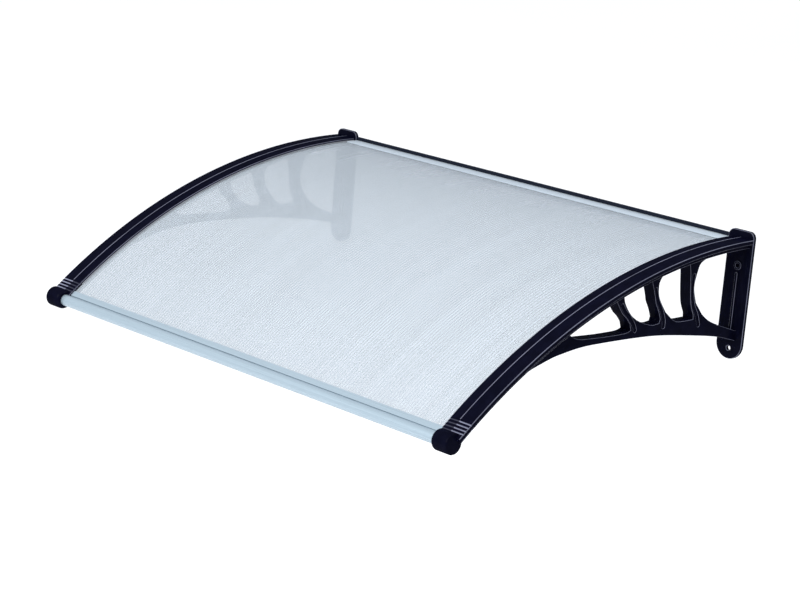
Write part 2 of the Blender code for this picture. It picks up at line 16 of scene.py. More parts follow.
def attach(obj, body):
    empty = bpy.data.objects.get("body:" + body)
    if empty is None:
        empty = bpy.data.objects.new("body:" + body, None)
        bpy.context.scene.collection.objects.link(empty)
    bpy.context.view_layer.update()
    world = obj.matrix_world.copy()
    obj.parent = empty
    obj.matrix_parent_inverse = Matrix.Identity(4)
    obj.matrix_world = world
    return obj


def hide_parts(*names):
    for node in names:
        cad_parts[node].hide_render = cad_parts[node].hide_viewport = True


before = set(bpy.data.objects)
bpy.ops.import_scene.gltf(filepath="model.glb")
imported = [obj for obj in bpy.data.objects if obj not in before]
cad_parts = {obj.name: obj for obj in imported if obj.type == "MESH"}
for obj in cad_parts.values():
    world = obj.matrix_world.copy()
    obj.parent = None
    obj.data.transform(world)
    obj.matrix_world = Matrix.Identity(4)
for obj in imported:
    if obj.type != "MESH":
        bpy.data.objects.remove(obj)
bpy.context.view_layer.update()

bl_info = {
    "name": "Door Canopy",
    "version": (1, 0, 0),
    "blender": (4, 5, 0),
    "location": "View3D > Sidebar > Canopy",
    "description": "Builds a curved sheet canopy with its wall brackets, bars, caps and seals",
    "category": "Add Mesh",
}

MM = 0.001
GAP = 0.3
SIDES = {"left": -1, "right": 1}


def length(name, description, default, low=0.1, high=3000.0):
    return FloatProperty(name=name, description=description, default=default, min=low, max=high)


def colour(name, description, default):
    return FloatVectorProperty(name=name, description=description, default=default, size=3, subtype="COLOR",
                               min=0.0, max=1.0)


class CanopySizes(bpy.types.PropertyGroup):
    """Sizes of the canopy in millimetres, and its angles in radians."""

    ridge_spacing: length("Ridge spacing", "From one bracket's ridge line to the other's", 952.0)
    ridge_radius: length("Ridge radius", "Radius of the ridge line, seen from the side", 1050.0)
    centre_behind_wall: length("Centre behind wall", "How far the arc's middle lies inside the wall", 10.0)
    ridge_at_wall: length("Ridge at wall", "Height of the ridge line at the wall", 13.0)
    rail_end: FloatProperty(name="Rail end", description="Where the rail stops, from the vertical",
                            default=math.radians(37.92), subtype="ANGLE")
    nose_angle: FloatProperty(name="Nose angle", description="Where the round nose has its axis",
                              default=math.radians(40.1), subtype="ANGLE")
    rib_pitch: length("Rib pitch", "From one rib of the sheet to the next", 6.22)
    sheet_thickness: length("Sheet thickness", "Over both skins", 5.0)
    moulding_rounding: length("Moulding rounding", "Radius of the brackets' edges", 0.9)
    groove_count: IntProperty(name="Cap grooves", description="Cross grooves in each front cap", default=4,
                              min=0, max=8)
    groove_pitch: length("Groove pitch", "From one cap groove to the next", 6.4)


class CanopyColours(bpy.types.PropertyGroup):
    """Base colours of the canopy's materials."""

    plastic: colour("Plastic", "Brackets, cover strips and caps", (0.0016, 0.0018, 0.006))
    # Painted highlight: a lighter colour mixed into the plastic's base on marked edges, the ridge line and
    # the cap grooves.
    painted_edge_highlight: colour("Worn edge", "Rounded edges of the plastic, where it shines", (0.16, 0.17, 0.24))
    sheet: colour("Sheet", "The clear sheet's skins", (0.47, 0.525, 0.58))
    # The two bars are one aluminium: the front bar's colour is painted darker and bluer, the rear bar's
    # paler, as painted shade and painted light.
    front_bar: colour("Front bar", "The bar with the round bead", (0.26, 0.33, 0.385))
    rear_bar: colour("Rear bar", "The bar along the wall", (0.42, 0.48, 0.54))
    seal: colour("Strip seal", "The grey seals under the cover strips", (0.16, 0.17, 0.19))
    wall_seal: colour("Wall seal", "The dark seal along the wall", (0.003, 0.005, 0.012))
    screws: colour("Screws", "The zinc plated screws", (0.55, 0.56, 0.58))


# Node helpers

class Value:
    """A node's output that takes part in Python expressions; each one adds a Math node."""

    def __init__(self, nodes, socket):
        self.nodes, self.socket = nodes, socket

    def maths(self, operation, *others):
        return self.nodes.add("ShaderNodeMath", {"operation": operation}, dict(enumerate((self, *others))))

    def __add__(self, other):
        return self.maths("ADD", other)

    def __sub__(self, other):
        return self.maths("SUBTRACT", other)

    def __mul__(self, other):
        return self.maths("MULTIPLY", other)


class Nodes:
    """A node tree with one method for every kind of node."""

    def __init__(self, tree):
        self.tree = tree

    def put(self, node, socket, value):
        """Links a value to the node's socket, or sets a plain number or colour there."""
        if isinstance(value, Value):
            self.tree.links.new(value.socket, node.inputs[socket])
        else:
            node.inputs[socket].default_value = value

    def add(self, kind, settings=None, sockets=None, output=0):
        node = self.tree.nodes.new(kind)
        for name, value in (settings or {}).items():
            setattr(node, name, value)
        for socket, value in (sockets or {}).items():
            self.put(node, socket, value)
        return Value(self, node.outputs[output]) if node.outputs else node

    def split(self, vector):
        """The x, y and z of a vector."""
        node = self.tree.nodes.new("ShaderNodeSeparateXYZ")
        self.put(node, 0, vector)
        return [Value(self, socket) for socket in node.outputs]

    def noise(self, where, scale, detail=3.0, rough=0.5):
        return self.add("ShaderNodeTexNoise", {}, {"Vector": where, "Scale": scale, "Detail": detail,
                                                   "Roughness": rough}, "Fac")

    def range(self, value, low, high, to_low, to_high):
        return self.add("ShaderNodeMapRange", {}, {0: value, 1: low, 2: high, 3: to_low, 4: to_high})

    def mix(self, share, a, b):
        """A colour between two others; its sockets are the colour ones of the Mix node."""
        node = self.tree.nodes.new("ShaderNodeMix")
        node.data_type = "RGBA"
        for index, value in ((0, share), (6, a), (7, b)):
            self.put(node, index, value)
        return Value(self, node.outputs[2])


def surface(name, paint):
    """A material whose Principled BSDF gets the sockets that paint returns."""
    made = bpy.data.materials.new(name)
    made.use_nodes = True
    nodes = Nodes(made.node_tree)
    shader = made.node_tree.nodes["Principled BSDF"]
    where = nodes.add("ShaderNodeTexCoord", output="Object")
    for socket, value in paint(nodes, where).items():
        nodes.put(shader, socket, value)
    return made


def stretched(nodes, where, x, y, z):
    return nodes.add("ShaderNodeMapping", {}, {"Vector": where, "Scale": (x, y, z)})


def bumped(nodes, height, strength, distance):
    return nodes.add("ShaderNodeBump", {}, {"Height": height, "Strength": strength, "Distance": distance})


def four(rgb, gain=1.0):
    return (*(min(1.0, c * gain) for c in rgb), 1.0)


def moulded_plastic(colours):
    """Satin plastic with a faint grain; its rounded edges are polished where the mesh marks them."""
    def paint(nodes, where):
        broad = nodes.noise(where, 9.0, 2.0)
        fine = nodes.noise(where, 900.0, 4.0, 0.6)
        dust = nodes.noise(where, 55.0, 5.0, 0.65)
        edge = nodes.add("ShaderNodeAttribute", {"attribute_name": "edge"}, output=2)
        # The edge mark gives a real coat and also a painted highlight, the lighter base colour mixed in
        # below.
        gloss_and_highlight = edge * nodes.range(broad, 0.3, 0.6, 0.55, 1.0)
        base = nodes.mix(nodes.range(dust, 0.35, 0.75, 0.0, 1.0), four(colours.plastic, 0.85),
                         four(colours.plastic, 1.5))
        return {"Base Color": nodes.mix(gloss_and_highlight, base, four(colours.painted_edge_highlight)),
                "Roughness": nodes.range(dust, 0.3, 0.7, 0.34, 0.46),
                "Normal": bumped(nodes, broad * 0.7 + fine * 0.06, 0.25, 0.001), "Specular IOR Level": 0.0,
                "Coat Weight": gloss_and_highlight + 0.03, "Coat Roughness": 0.15}
    return surface("moulded navy black plastic", paint)


def sheet_skin(colours, name, alpha):
    """Clear plastic with drawn streaks and a faint line over each rib, where the skin is thicker."""
    def paint(nodes, where):
        pitch = bpy.context.scene.canopy_sizes.rib_pitch * MM
        waves = nodes.add("ShaderNodeTexWave", {"bands_direction": "X"},
                          {"Vector": where, "Scale": 2 * math.pi / (20 * pitch)}, "Fac")
        line = nodes.range(waves, 0.55, 0.95, 0.0, 1.0)
        streaks = nodes.noise(stretched(nodes, where, 110.0, 1.2, 1.2), 1.0, 2.0)
        drawn = nodes.range(streaks, 0.3, 0.7, 0.0, 1.0)
        base = nodes.mix(drawn, four(colours.sheet, 0.94), four(colours.sheet, 1.08))
        base = nodes.mix(line, base, four(colours.sheet, 0.64))
        return {"Base Color": base, "Alpha": line * 0.10 + alpha, "Roughness": drawn * 0.05 + 0.24,
                "Specular IOR Level": 0.35}
    return surface(name, paint)


def satin_aluminium(name, rgb, metallic):
    def paint(nodes, where):
        brushed = nodes.noise(stretched(nodes, where, 4.0, 900.0, 900.0), 1.0, 4.0, 0.7)
        base = nodes.mix(nodes.range(brushed, 0.3, 0.7, 0.0, 1.0), four(rgb, 0.92), four(rgb, 1.08))
        return {"Base Color": base, "Metallic": metallic,
                "Roughness": nodes.range(brushed, 0.3, 0.7, 0.26, 0.38),
                "Normal": bumped(nodes, brushed, 0.2, 0.0002)}
    return surface(name, paint)


def soft_rubber(name, rgb):
    def paint(nodes, where):
        grain = nodes.noise(where, 700.0, 4.0, 0.6)
        base = nodes.mix(nodes.noise(where, 40.0, 3.0), four(rgb, 0.8), four(rgb, 1.25))
        return {"Base Color": base, "Roughness": nodes.range(grain, 0.3, 0.7, 0.6, 0.8),
                "Specular IOR Level": 0.1, "Normal": bumped(nodes, grain, 0.25, 0.0003)}
    return surface(name, paint)


def zinc_steel(colours):
    def paint(nodes, where):
        spangle = nodes.noise(where, 420.0, 3.0, 0.55)
        base = nodes.mix(spangle, four(colours.screws, 0.75), four(colours.screws, 1.2))
        return {"Base Color": base, "Metallic": 1.0, "Roughness": nodes.range(spangle, 0.3, 0.7, 0.22, 0.4),
                "Normal": bumped(nodes, spangle, 0.2, 0.0001)}
    return surface("zinc plated steel", paint)


FINISHES = {}


def finish_of(kind):
    """The material of that kind, made when a piece first asks for it."""
    colours = bpy.context.scene.canopy_colours
    makers = {
        "plastic": lambda: moulded_plastic(colours),
        "skin": lambda: sheet_skin(colours, "clear sheet skin", 0.32),
        "rib": lambda: sheet_skin(colours, "clear sheet rib", 0.18),
        # One aluminium in two copies: the front one painted darker and more metallic, the rear one paler and
        # less metallic, as painted shade and painted light.
        "front_bar": lambda: satin_aluminium("satin aluminium", colours.front_bar, 0.4),
        "rear_bar": lambda: satin_aluminium("aluminium painted paler", colours.rear_bar, 0.2),
        "seal": lambda: soft_rubber("grey rubber", colours.seal),
        "wall_seal": lambda: soft_rubber("black rubber", colours.wall_seal),
        "screws": lambda: zinc_steel(colours),
    }
    if kind not in FINISHES:
        FINISHES[kind] = makers[kind]()
    return FINISHES[kind]


# The arc that the long pieces follow

def on_arc(angle, depth):
    """The (y, z) point at an angle from the vertical and a depth below the ridge."""
    sizes = bpy.context.scene.canopy_sizes
    radius = sizes.ridge_radius - depth
    return Vector((sizes.centre_behind_wall - radius * math.sin(angle),
                   sizes.ridge_at_wall - sizes.ridge_radius + radius * math.cos(angle)))


def angle_at(reach, depth=0.0):
    sizes = bpy.context.scene.canopy_sizes
    return math.asin((reach + sizes.centre_behind_wall) / (sizes.ridge_radius - depth))


def from_nose(along, depth):
    """The (y, z) point along the straight front end from the nose axis; negative is towards the wall."""
    sizes = bpy.context.scene.canopy_sizes
    a, b = on_arc(sizes.rail_end, depth), on_arc(sizes.nose_angle, depth)
    return b + (b - a).normalized() * along


def arc_rings(start, end, steps):
    return [lambda depth, t=k / steps: on_arc(start + (end - start) * t, depth) for k in range(steps + 1)]


def half_spacing():
    return bpy.context.scene.canopy_sizes.ridge_spacing / 2


def rear_angle():
    """Where the strips start, just ahead of the wall plate."""
    return angle_at(PLATE_THICKNESS + GAP)


# Mesh helpers

def finished(name, builder, finish, smooth, replaces, gloss_and_highlight_marks=None):
    """An object from a bmesh in millimetres, on the root body, standing for its solids."""
    bmesh.ops.remove_doubles(builder, verts=builder.verts, dist=0.002)
    bmesh.ops.recalc_face_normals(builder, faces=builder.faces)
    bmesh.ops.scale(builder, vec=(MM, MM, MM), verts=builder.verts)
    mesh = bpy.data.meshes.new(name)
    builder.to_mesh(mesh)
    builder.free()
    if finish == "plastic":
        mark_edges(mesh, gloss_and_highlight_marks)
    mesh.materials.append(finish_of(finish))
    mesh.shade_smooth()
    mesh.set_sharp_from_angle(angle=math.radians(smooth))
    made = bpy.data.objects.new(name, mesh)
    bpy.context.scene.collection.objects.link(made)
    return hand_over(made, replaces)


EDGE_TURN = (math.radians(19), math.radians(60))
# How much coat gloss and painted highlight a rounded edge gets.
EDGE_GLOSS_AND_HIGHLIGHT = 0.5


def mark_edges(mesh, gloss_and_highlight_marks=None):
    """Gives each face an "edge" value for its polish.

    A face on a rounded outer edge gets EDGE_POLISH, or what polished says for its middle if that is more.
    """
    builder = bmesh.new()
    builder.from_mesh(mesh)
    marks = []
    for face in builder.faces:
        turned = any(len(edge.link_faces) == 2 and EDGE_TURN[0] < edge.calc_face_angle_signed() < EDGE_TURN[1]
                     for edge in face.edges)
        extra = gloss_and_highlight_marks(face.calc_center_median() / MM) if gloss_and_highlight_marks else 0.0
        marks.append(max(EDGE_GLOSS_AND_HIGHLIGHT * turned, extra))
    builder.free()
    mesh.attributes.new("edge", "FLOAT", "FACE").data.foreach_set("value", marks)


def hand_over(made, replaces):
    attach(made, "root")
    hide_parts(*replaces)
    return made


def rounded(points, radius, steps=4):
    """A closed outline with each corner rounded; radius is one value, or one for each corner."""
    line = []
    count = len(points)
    for i, point in enumerate(points):
        here = Vector(point)
        before, after = Vector(points[i - 1]) - here, Vector(points[(i + 1) % count]) - here
        r = radius[i] if isinstance(radius, (list, tuple)) else radius
        turn = before.angle(after)
        if r <= 0 or turn > math.radians(179):
            line.append(tuple(here))
            continue
        back = min(r / math.tan(turn / 2), before.length * 0.48, after.length * 0.48)
        a, b = here + before.normalized() * back, here + after.normalized() * back
        for k in range(steps + 1):
            t = k / steps
            line.append(tuple(a * (1 - t) ** 2 + here * 2 * t * (1 - t) + b * t * t))
    return line


def smooth_line(points, steps):
    """Points on a smooth curve through the given ones."""
    given = [Vector(p) for p in points]
    line = []
    for i in range(len(given) - 1):
        before, after = given[max(i - 1, 0)], given[min(i + 2, len(given) - 1)]
        for k in range(steps):
            t = k / steps
            line.append(0.5 * (2 * given[i] + (given[i + 1] - before) * t
                               + (2 * before - 5 * given[i] + 4 * given[i + 1] - after) * t * t
                               + (3 * given[i] - before - 3 * given[i + 1] + after) * t ** 3))
    return line + [given[-1]]


def circle(radius, segments, centre=(0.0, 0.0)):
    return [(centre[0] + radius * math.cos(math.tau * k / segments),
             centre[1] + radius * math.sin(math.tau * k / segments)) for k in range(segments)]


def bridge(builder, rings, closed=False):
    """Closed rings of vertices joined one to the next, with the two ends filled."""
    if not closed:
        builder.faces.new(rings[0])
        builder.faces.new(rings[-1])
    for first, second in zip(rings, rings[1:]):
        for i, corner in enumerate(first):
            j = (i + 1) % len(first)
            builder.faces.new((corner, first[j], second[j], second[i]))


def add_sweep(builder, sections, rings, side):
    """Sections of (u, depth) points carried along the rings; one section, or one for each ring."""
    made = []
    for i, ring in enumerate(rings):
        section = sections[i] if isinstance(sections[0][0], (list, tuple)) else sections
        made.append([builder.verts.new((side * (half_spacing() + u), *ring(depth))) for u, depth in section])
    bridge(builder, made)


def add_prism(builder, outline, start, end):
    rings = [[builder.verts.new((x, y, z)) for y, z in outline] for x in (start, end)]
    bridge(builder, rings)


def add_lathe(builder, profile, centre, side, segments=64):
    """A profile of (u, radius) points turned about an axis along X through a (y, z) centre."""
    rings = []
    for u, radius in profile:
        x = side * (half_spacing() + u)
        if radius < 1e-6:
            rings.append([builder.verts.new((x, *centre))])
        else:
            rings.append([builder.verts.new((x, y, z)) for y, z in circle(radius, segments, centre)])
    join_turned(builder, rings, segments)


def join_turned(builder, rings, segments):
    """Joins each ring of vertices to the next; a ring may be a single point."""
    for first, second in zip(rings, rings[1:]):
        for i in range(segments):
            j = (i + 1) % segments
            corners = dict.fromkeys(ring[k % len(ring)] for ring, k in ((first, i), (first, j), (second, j),
                                                                        (second, i)))
            if len(corners) > 2:
                builder.faces.new(list(corners))


def cut_plate(outlines, half_thickness, rounding):
    """A mesh from closed outlines, the first one outside and the others holes, with rounded edges."""
    curve = bpy.data.curves.new("outline", "CURVE")
    curve.dimensions, curve.fill_mode = "2D", "BOTH"
    for outline in outlines:
        spline = curve.splines.new("POLY")
        spline.points.add(len(outline) - 1)
        for point, (a, b) in zip(spline.points, outline):
            point.co = (a, b, 0, 1)
        spline.use_cyclic_u = True
    curve.extrude = half_thickness - rounding
    curve.bevel_depth, curve.bevel_resolution, curve.offset = rounding, 2, -rounding
    holder = bpy.data.objects.new("outline", curve)
    bpy.context.scene.collection.objects.link(holder)
    mesh = bpy.data.meshes.new_from_object(holder.evaluated_get(bpy.context.evaluated_depsgraph_get()))
    bpy.data.objects.remove(holder)
    bpy.data.curves.remove(curve)
    return mesh


def add_mesh(builder, mesh, turn):
    """Takes a mesh into the builder after turning it, and removes it."""
    mesh.transform(turn)
    builder.from_mesh(mesh)
    bpy.data.meshes.remove(mesh)


def axes(x, y, z, place):
    """The matrix that sends the three local axes to x, y and z."""
    made = Matrix((x, y, z)).transposed().to_4x4()
    made.translation = place
    return made


# Brackets

ARM_LOWER_EDGE = ((0, 175), (55, 159), (129, 141), (203, 120), (262, 103), (348, 75), (395, 58), (439, 44),
                  (461, 37.5), (500, 28))
ARM_TOE_REACH = 516.0
OPENINGS = {
    "front": (((422, 22.5), (408, 36), (392, 46.5)), ((340, 68.5), (292, 84), (277, 85)),
              ((281, 73), (290, 61), (302, 47.5), (313, 30), (318, 21))),
    "middle": (((301, 20.7), (297, 33), (288, 48), (278, 61), (265, 73)), ((252, 82), (227, 95), (209, 98)),
               ((207, 92), (211, 81.5), (217, 70), (222, 61), (226, 48), (233, 30), (237, 20))),
    "rear": (((211, 19.7), (218, 30), (217, 46), (211, 60.5), (195, 84)),
             ((176, 102), (160, 110), (123, 115.5)),
             ((124, 108), (133, 89), (138, 64.5), (142, 36), (146, 19.2))),
    "wall": (((104, 18.8), (118, 24), (124, 35), (129, 61), (120, 89)), ((101, 112), (81, 127), (53, 140)),
             ((4, 157), (4, 113), (4, 63), (4, 18.2))),
}
STRUT_RECESSES = {
    "front": ((304, 34), (295, 48), (284, 61), (272, 78), (267, 89)),
    "middle": ((225, 38), (218, 57), (206, 78), (198, 96), (197, 107)),
    "rear": ((133, 41), (133, 65), (127, 90), (115, 111), (108, 128)),
}
WEB_HALF = 11.0
WEB_DEPTHS = (18.0, 22.0)  # below the ridge line, at the wall and at the front
RECESS = {"half_width": 3.6, "deep": 1.6, "overlap": 0.4, "rounding": 0.5}
SHELF = (11.5, 15.4)
RAIL = {"inner": -18.5, "wall": (16.5, 19.5), "wall_top": 6.8}
END_ANGLE = 0.0003  # what the strips and the rail stop short of the caps
WEB_END_ANGLE = 0.0008  # and the web
PLATE_THICKNESS = 6.5
PLATE_HALF = 26.0
PLATE_CLEARANCE = 0.5
PLATE = {"corner": 11.0, "top": 24.0, "bottom": -193.0}
HOLE = {"radius": 4.0, "upper": -35.0, "lower": -175.0, "rim": 7.5, "rim_half": 1.6}
PLATE_RIB = {"half_width": 2.5, "top": -48.5, "bottom": -150.0, "half": 2.6}
SMALL_ROUNDING = 0.7


def web_depth(angle):
    share = (angle - rear_angle()) / (bpy.context.scene.canopy_sizes.rail_end - rear_angle())
    return WEB_DEPTHS[0] + (WEB_DEPTHS[1] - WEB_DEPTHS[0]) * share


def below_ridge(points):
    """(reach, drop) points as (y, z), where drop is the height below the ridge line at that reach."""
    return [(-reach, on_arc(angle_at(reach), 0).y - drop) for reach, drop in points]


def web_outline():
    end = bpy.context.scene.canopy_sizes.rail_end
    inside = (SHELF[0] + SHELF[1]) / 2
    start = angle_at(PLATE_THICKNESS / 2)
    angles = [start + (end - WEB_END_ANGLE - start) * k / 80 for k in range(81)]
    toe = angle_at(ARM_TOE_REACH, WEB_DEPTHS[1])
    top = [tuple(on_arc(angle, inside)) for angle in angles]
    under = [tuple(on_arc(angle, web_depth(angle))) for angle in reversed(angles) if angle > toe]
    lower = [tuple(p) for p in smooth_line(below_ridge(ARM_LOWER_EDGE), 6)]
    lower[0] = (-PLATE_THICKNESS / 2, lower[0][1])
    return [*top, *under, *reversed(lower)]


def opening_outline(front, lower, rear):
    down, across, up = (smooth_line(below_ridge(points), 5) for points in (front, lower, rear))
    low, high = angle_at(3 - up[-1].x, WEB_DEPTHS[0]), angle_at(-down[0].x - 3, WEB_DEPTHS[0])
    top = [on_arc(low + (high - low) * k / 12, web_depth(low + (high - low) * k / 12)) for k in range(13)]
    return [tuple(p) for p in (*down, *across, *up, *top)]


def recess_outline(middle, half_width):
    """A band of constant width round a strut's middle line, with round ends."""
    line = smooth_line(below_ridge(middle), 5)
    left, right = [], []
    for i, point in enumerate(line):
        along = (line[min(i + 1, len(line) - 1)] - line[max(i - 1, 0)]).normalized()
        across = Vector((-along.y, along.x)) * half_width
        left.append(tuple(point + across))
        right.append(tuple(point - across))
    ends = []
    for tip, before in ((line[-1], line[-2]), (line[0], line[1])):
        along = (tip - before).normalized()
        side = Vector((-along.y, along.x)) * half_width
        ends.append([tuple(tip + Matrix.Rotation(-math.pi * k / 8, 2) @ side) for k in range(1, 8)])
    return left + ends[0] + right[::-1] + ends[1]


def plate_outline(middle):
    half, corner, top, bottom = PLATE_HALF, PLATE["corner"], PLATE["top"], PLATE["bottom"]
    line = []
    for x, start in ((middle + half - corner, 0), (middle - half + corner, math.pi / 2)):
        for k in range(11):
            angle = start + math.pi / 2 * k / 10
            line.append((x + corner * math.cos(angle), top - corner + corner * math.sin(angle)))
    for k in range(31):
        angle = math.pi + math.pi * k / 30
        line.append((middle + half * math.cos(angle), bottom + half + half * math.sin(angle)))
    return line


def add_web(builder, middle, rounding):
    """The web with its arm and struts: a core between two cheeks that leave the struts' recesses open."""
    cells = [opening_outline(*points) for points in OPENINGS.values()]
    recesses = [recess_outline(points, RECESS["half_width"]) for points in STRUT_RECESSES.values()]
    core = cut_plate([web_outline(), *cells], WEB_HALF - RECESS["deep"], rounding * 0.3)
    add_mesh(builder, core, axes((0, 1, 0), (0, 0, 1), (1, 0, 0), (middle, 0, 0)))
    half = RECESS["deep"] / 2 + RECESS["overlap"]
    for face in (-1, 1):
        cheek = cut_plate([web_outline(), *cells, *recesses], half, RECESS["rounding"])
        place = middle + face * (WEB_HALF - RECESS["deep"] / 2 - RECESS["overlap"])
        add_mesh(builder, cheek, axes((0, 1, 0), (0, 0, 1), (1, 0, 0), (place, 0, 0)))


def add_rail(builder, side):
    """The shelf under the sheet and the side wall that the cover strip reaches over."""
    inner, (low, high) = RAIL["inner"], RAIL["wall"]
    section = rounded([(inner, SHELF[0]), (low, SHELF[0]), (low, RAIL["wall_top"]), (high, RAIL["wall_top"]),
                       (high, SHELF[1]), (inner, SHELF[1])], 0.6, 3)
    start = angle_at(PLATE_THICKNESS / 2 + GAP)
    rings = arc_rings(start, bpy.context.scene.canopy_sizes.rail_end - END_ANGLE, 110)
    add_sweep(builder, section, rings, side)


def add_wall_plate(builder, middle, rounding):
    """The plate with its two holes, the rim round the upper one and the rib between them."""
    def on_plate(outlines, half, soft, depth):
        turn = axes((1, 0, 0), (0, 0, 1), (0, -1, 0), (0, -depth, 0))
        add_mesh(builder, cut_plate(outlines, half, soft), turn)
    radius = HOLE["radius"]
    holes = [circle(radius, 40, (middle, height)) for height in (HOLE["lower"], HOLE["upper"])]
    on_plate([plate_outline(middle), *holes], PLATE_THICKNESS / 2, rounding, PLATE_THICKNESS / 2)
    rim = [circle(size, steps, (middle, HOLE["upper"])) for size, steps in ((HOLE["rim"], 48), (radius, 40))]
    on_plate(rim, HOLE["rim_half"], SMALL_ROUNDING, PLATE_THICKNESS)
    half, top, bottom = PLATE_RIB["half_width"], PLATE_RIB["top"], PLATE_RIB["bottom"]
    rib = [(middle + half * math.cos(angle), top + half * math.sin(angle))
           for angle in (math.pi * k / 12 for k in range(13))]
    rib += [(middle - half, bottom), (middle + half, bottom)]
    on_plate([rib], PLATE_RIB["half"], SMALL_ROUNDING, PLATE_THICKNESS)


def build_bracket(label, side):
    rounding = bpy.context.scene.canopy_sizes.moulding_rounding
    middle = side * half_spacing()
    builder = bmesh.new()
    add_web(builder, middle, rounding)
    add_rail(builder, side)
    add_wall_plate(builder, middle, rounding)
    return finished("moulded_bracket_" + label, builder, "plastic", 40.0,
                    ["bracket_" + label])


# Strips, caps and bars

ROOF = {"inner": -20.0, "outer": 25.5, "top": 0.6, "inner_top": 1.8, "outer_top": 0.9, "underside": 4.6,
        "side": 8.0, "wall": 2.6}
# Its last value is how much coat gloss and painted highlight the raised line gets.
RIDGE_LINE = {"half_top": 0.7, "half_foot": 1.3, "gloss_and_highlight": 0.6}
TONGUE = (1.0, 16.0, 11.2)  # its inner and outer face and its lower end


def build_cover_strip(label, side):
    inner, outer, wall = ROOF["inner"], ROOF["outer"], ROOF["outer"] - ROOF["wall"]
    top, foot = RIDGE_LINE["half_top"], RIDGE_LINE["half_foot"]
    near, far, low = TONGUE
    under, side_foot = ROOF["underside"], ROOF["side"]
    section = rounded([(inner, ROOF["inner_top"]), (-foot, ROOF["top"]), (-top, 0), (top, 0),
                       (foot, ROOF["top"]), (outer, ROOF["outer_top"]), (outer, side_foot), (wall, side_foot),
                       (wall, under), (far, under), (far, low), (near, low), (near, under), (inner, under)],
                      [0.9, 0.3, 0.35, 0.35, 0.3, 1.0, 0.6, 0.6, 0, 0, 0, 0, 0, 0.6], 4)
    end = bpy.context.scene.canopy_sizes.rail_end
    builder = bmesh.new()
    add_sweep(builder, section, arc_rings(rear_angle(), end - END_ANGLE, 120), side)

    def gloss_and_highlight_marks(middle):
        """The raised line shines."""
        return RIDGE_LINE["gloss_and_highlight"] if abs(side * middle.x - half_spacing()) < top + 0.1 else 0.0
    return finished("ridged_cover_strip_" + label, builder, "plastic", 50.0,
                    ["cover_strip_" + label], gloss_and_highlight_marks)


STRIP_SEAL = (-22.0, -12.0, 4.9, 5.9)  # its inner and outer edge, its top and its foot


def build_strip_seal(label, side):
    inner, outer, top, foot = STRIP_SEAL
    section = rounded([(inner, top), (outer, top), (outer, foot), (inner, foot)], 0.35, 3)
    end = bpy.context.scene.canopy_sizes.rail_end
    builder = bmesh.new()
    add_sweep(builder, section, arc_rings(rear_angle(), end - END_ANGLE, 100), side)
    return finished("grey_strip_seal_" + label, builder, "seal", 50.0, ["strip_seal_" + label])


NOSE = {"depth": 6.0, "radius": 17.0, "inner": 15.4, "outer": 18.5, "inner_rounding": 6.0,
        "outer_rounding": 2.5, "socket_end": 13.5}
CAP_BODY_END = -8.0
BEAD = {"depth": 7.5, "radius": 9.75, "bore": 7.6, "end": 13.2}
FRONT_GROOVE = 17.6
# The last two values set the grooves' coat gloss and painted highlight; the outer half gets more.
GROOVE = {"wide": 1.6, "deep": 0.9, "lip": 0.35, "outer_gloss_and_highlight": 1.0, "inner_gloss_and_highlight": 0.2}
GROOVE_SHINE = {"from": -17.0, "to": 21.0, "ridge": 2.5}  # where a groove shines; not on the ridge itself


def cap_section(sunk):
    inner, outer, top = ROOF["inner"], ROOF["outer"], ROOF["top"] + sunk
    side, foot = RAIL["wall"][1], WEB_DEPTHS[1]
    corners = [(inner, ROOF["inner_top"] + sunk), (0, top), (outer, ROOF["outer_top"] + sunk),
               (outer, ROOF["side"]), (side, ROOF["side"]), (side, SHELF[1]), (WEB_HALF, SHELF[1]),
               (WEB_HALF, foot), (-WEB_HALF, foot), (-WEB_HALF, SHELF[1]), (inner, SHELF[1])]
    return rounded(corners, [0.9, 0.6, 1.0, 0.9, 0, 0.9, 0, 0.9, 0.9, 0, 0.9], 4)


def cap_places(start):
    """Places along the cap from its start and how far the top is sunk at each, with the cross grooves."""
    sizes = bpy.context.scene.canopy_sizes
    half, deep = GROOVE["wide"] / 2, GROOVE["deep"]
    places = [(start, 0.0)]
    for k in reversed(range(sizes.groove_count)):
        middle = -FRONT_GROOVE - sizes.groove_pitch * k
        rear = [(middle - half - GROOVE["lip"], 0.0), (middle - half, deep * 0.75), (middle - half / 2, deep)]
        places += rear + [(2 * middle - place, sunk) for place, sunk in reversed(rear)]
    return [place for place in places if place[0] < CAP_BODY_END] + [(CAP_BODY_END, 0.0)]


def nose_profile():
    """The round nose from the bead's socket over both rounded rims, as (u, radius) points."""
    radius, socket = NOSE["radius"], BEAD["radius"] + GAP
    profile = [(NOSE["socket_end"], 0.0), (NOSE["socket_end"], socket), (-NOSE["inner"], socket)]
    for end, soft, order in ((-NOSE["inner"], NOSE["inner_rounding"], range(9)),
                             (NOSE["outer"], NOSE["outer_rounding"], range(8, -1, -1))):
        profile += [(end - math.copysign(soft * (1 - math.cos(math.pi / 16 * k)), end),
                     radius - soft * (1 - math.sin(math.pi / 16 * k))) for k in order]
    return profile + [(NOSE["outer"], 0.0)]


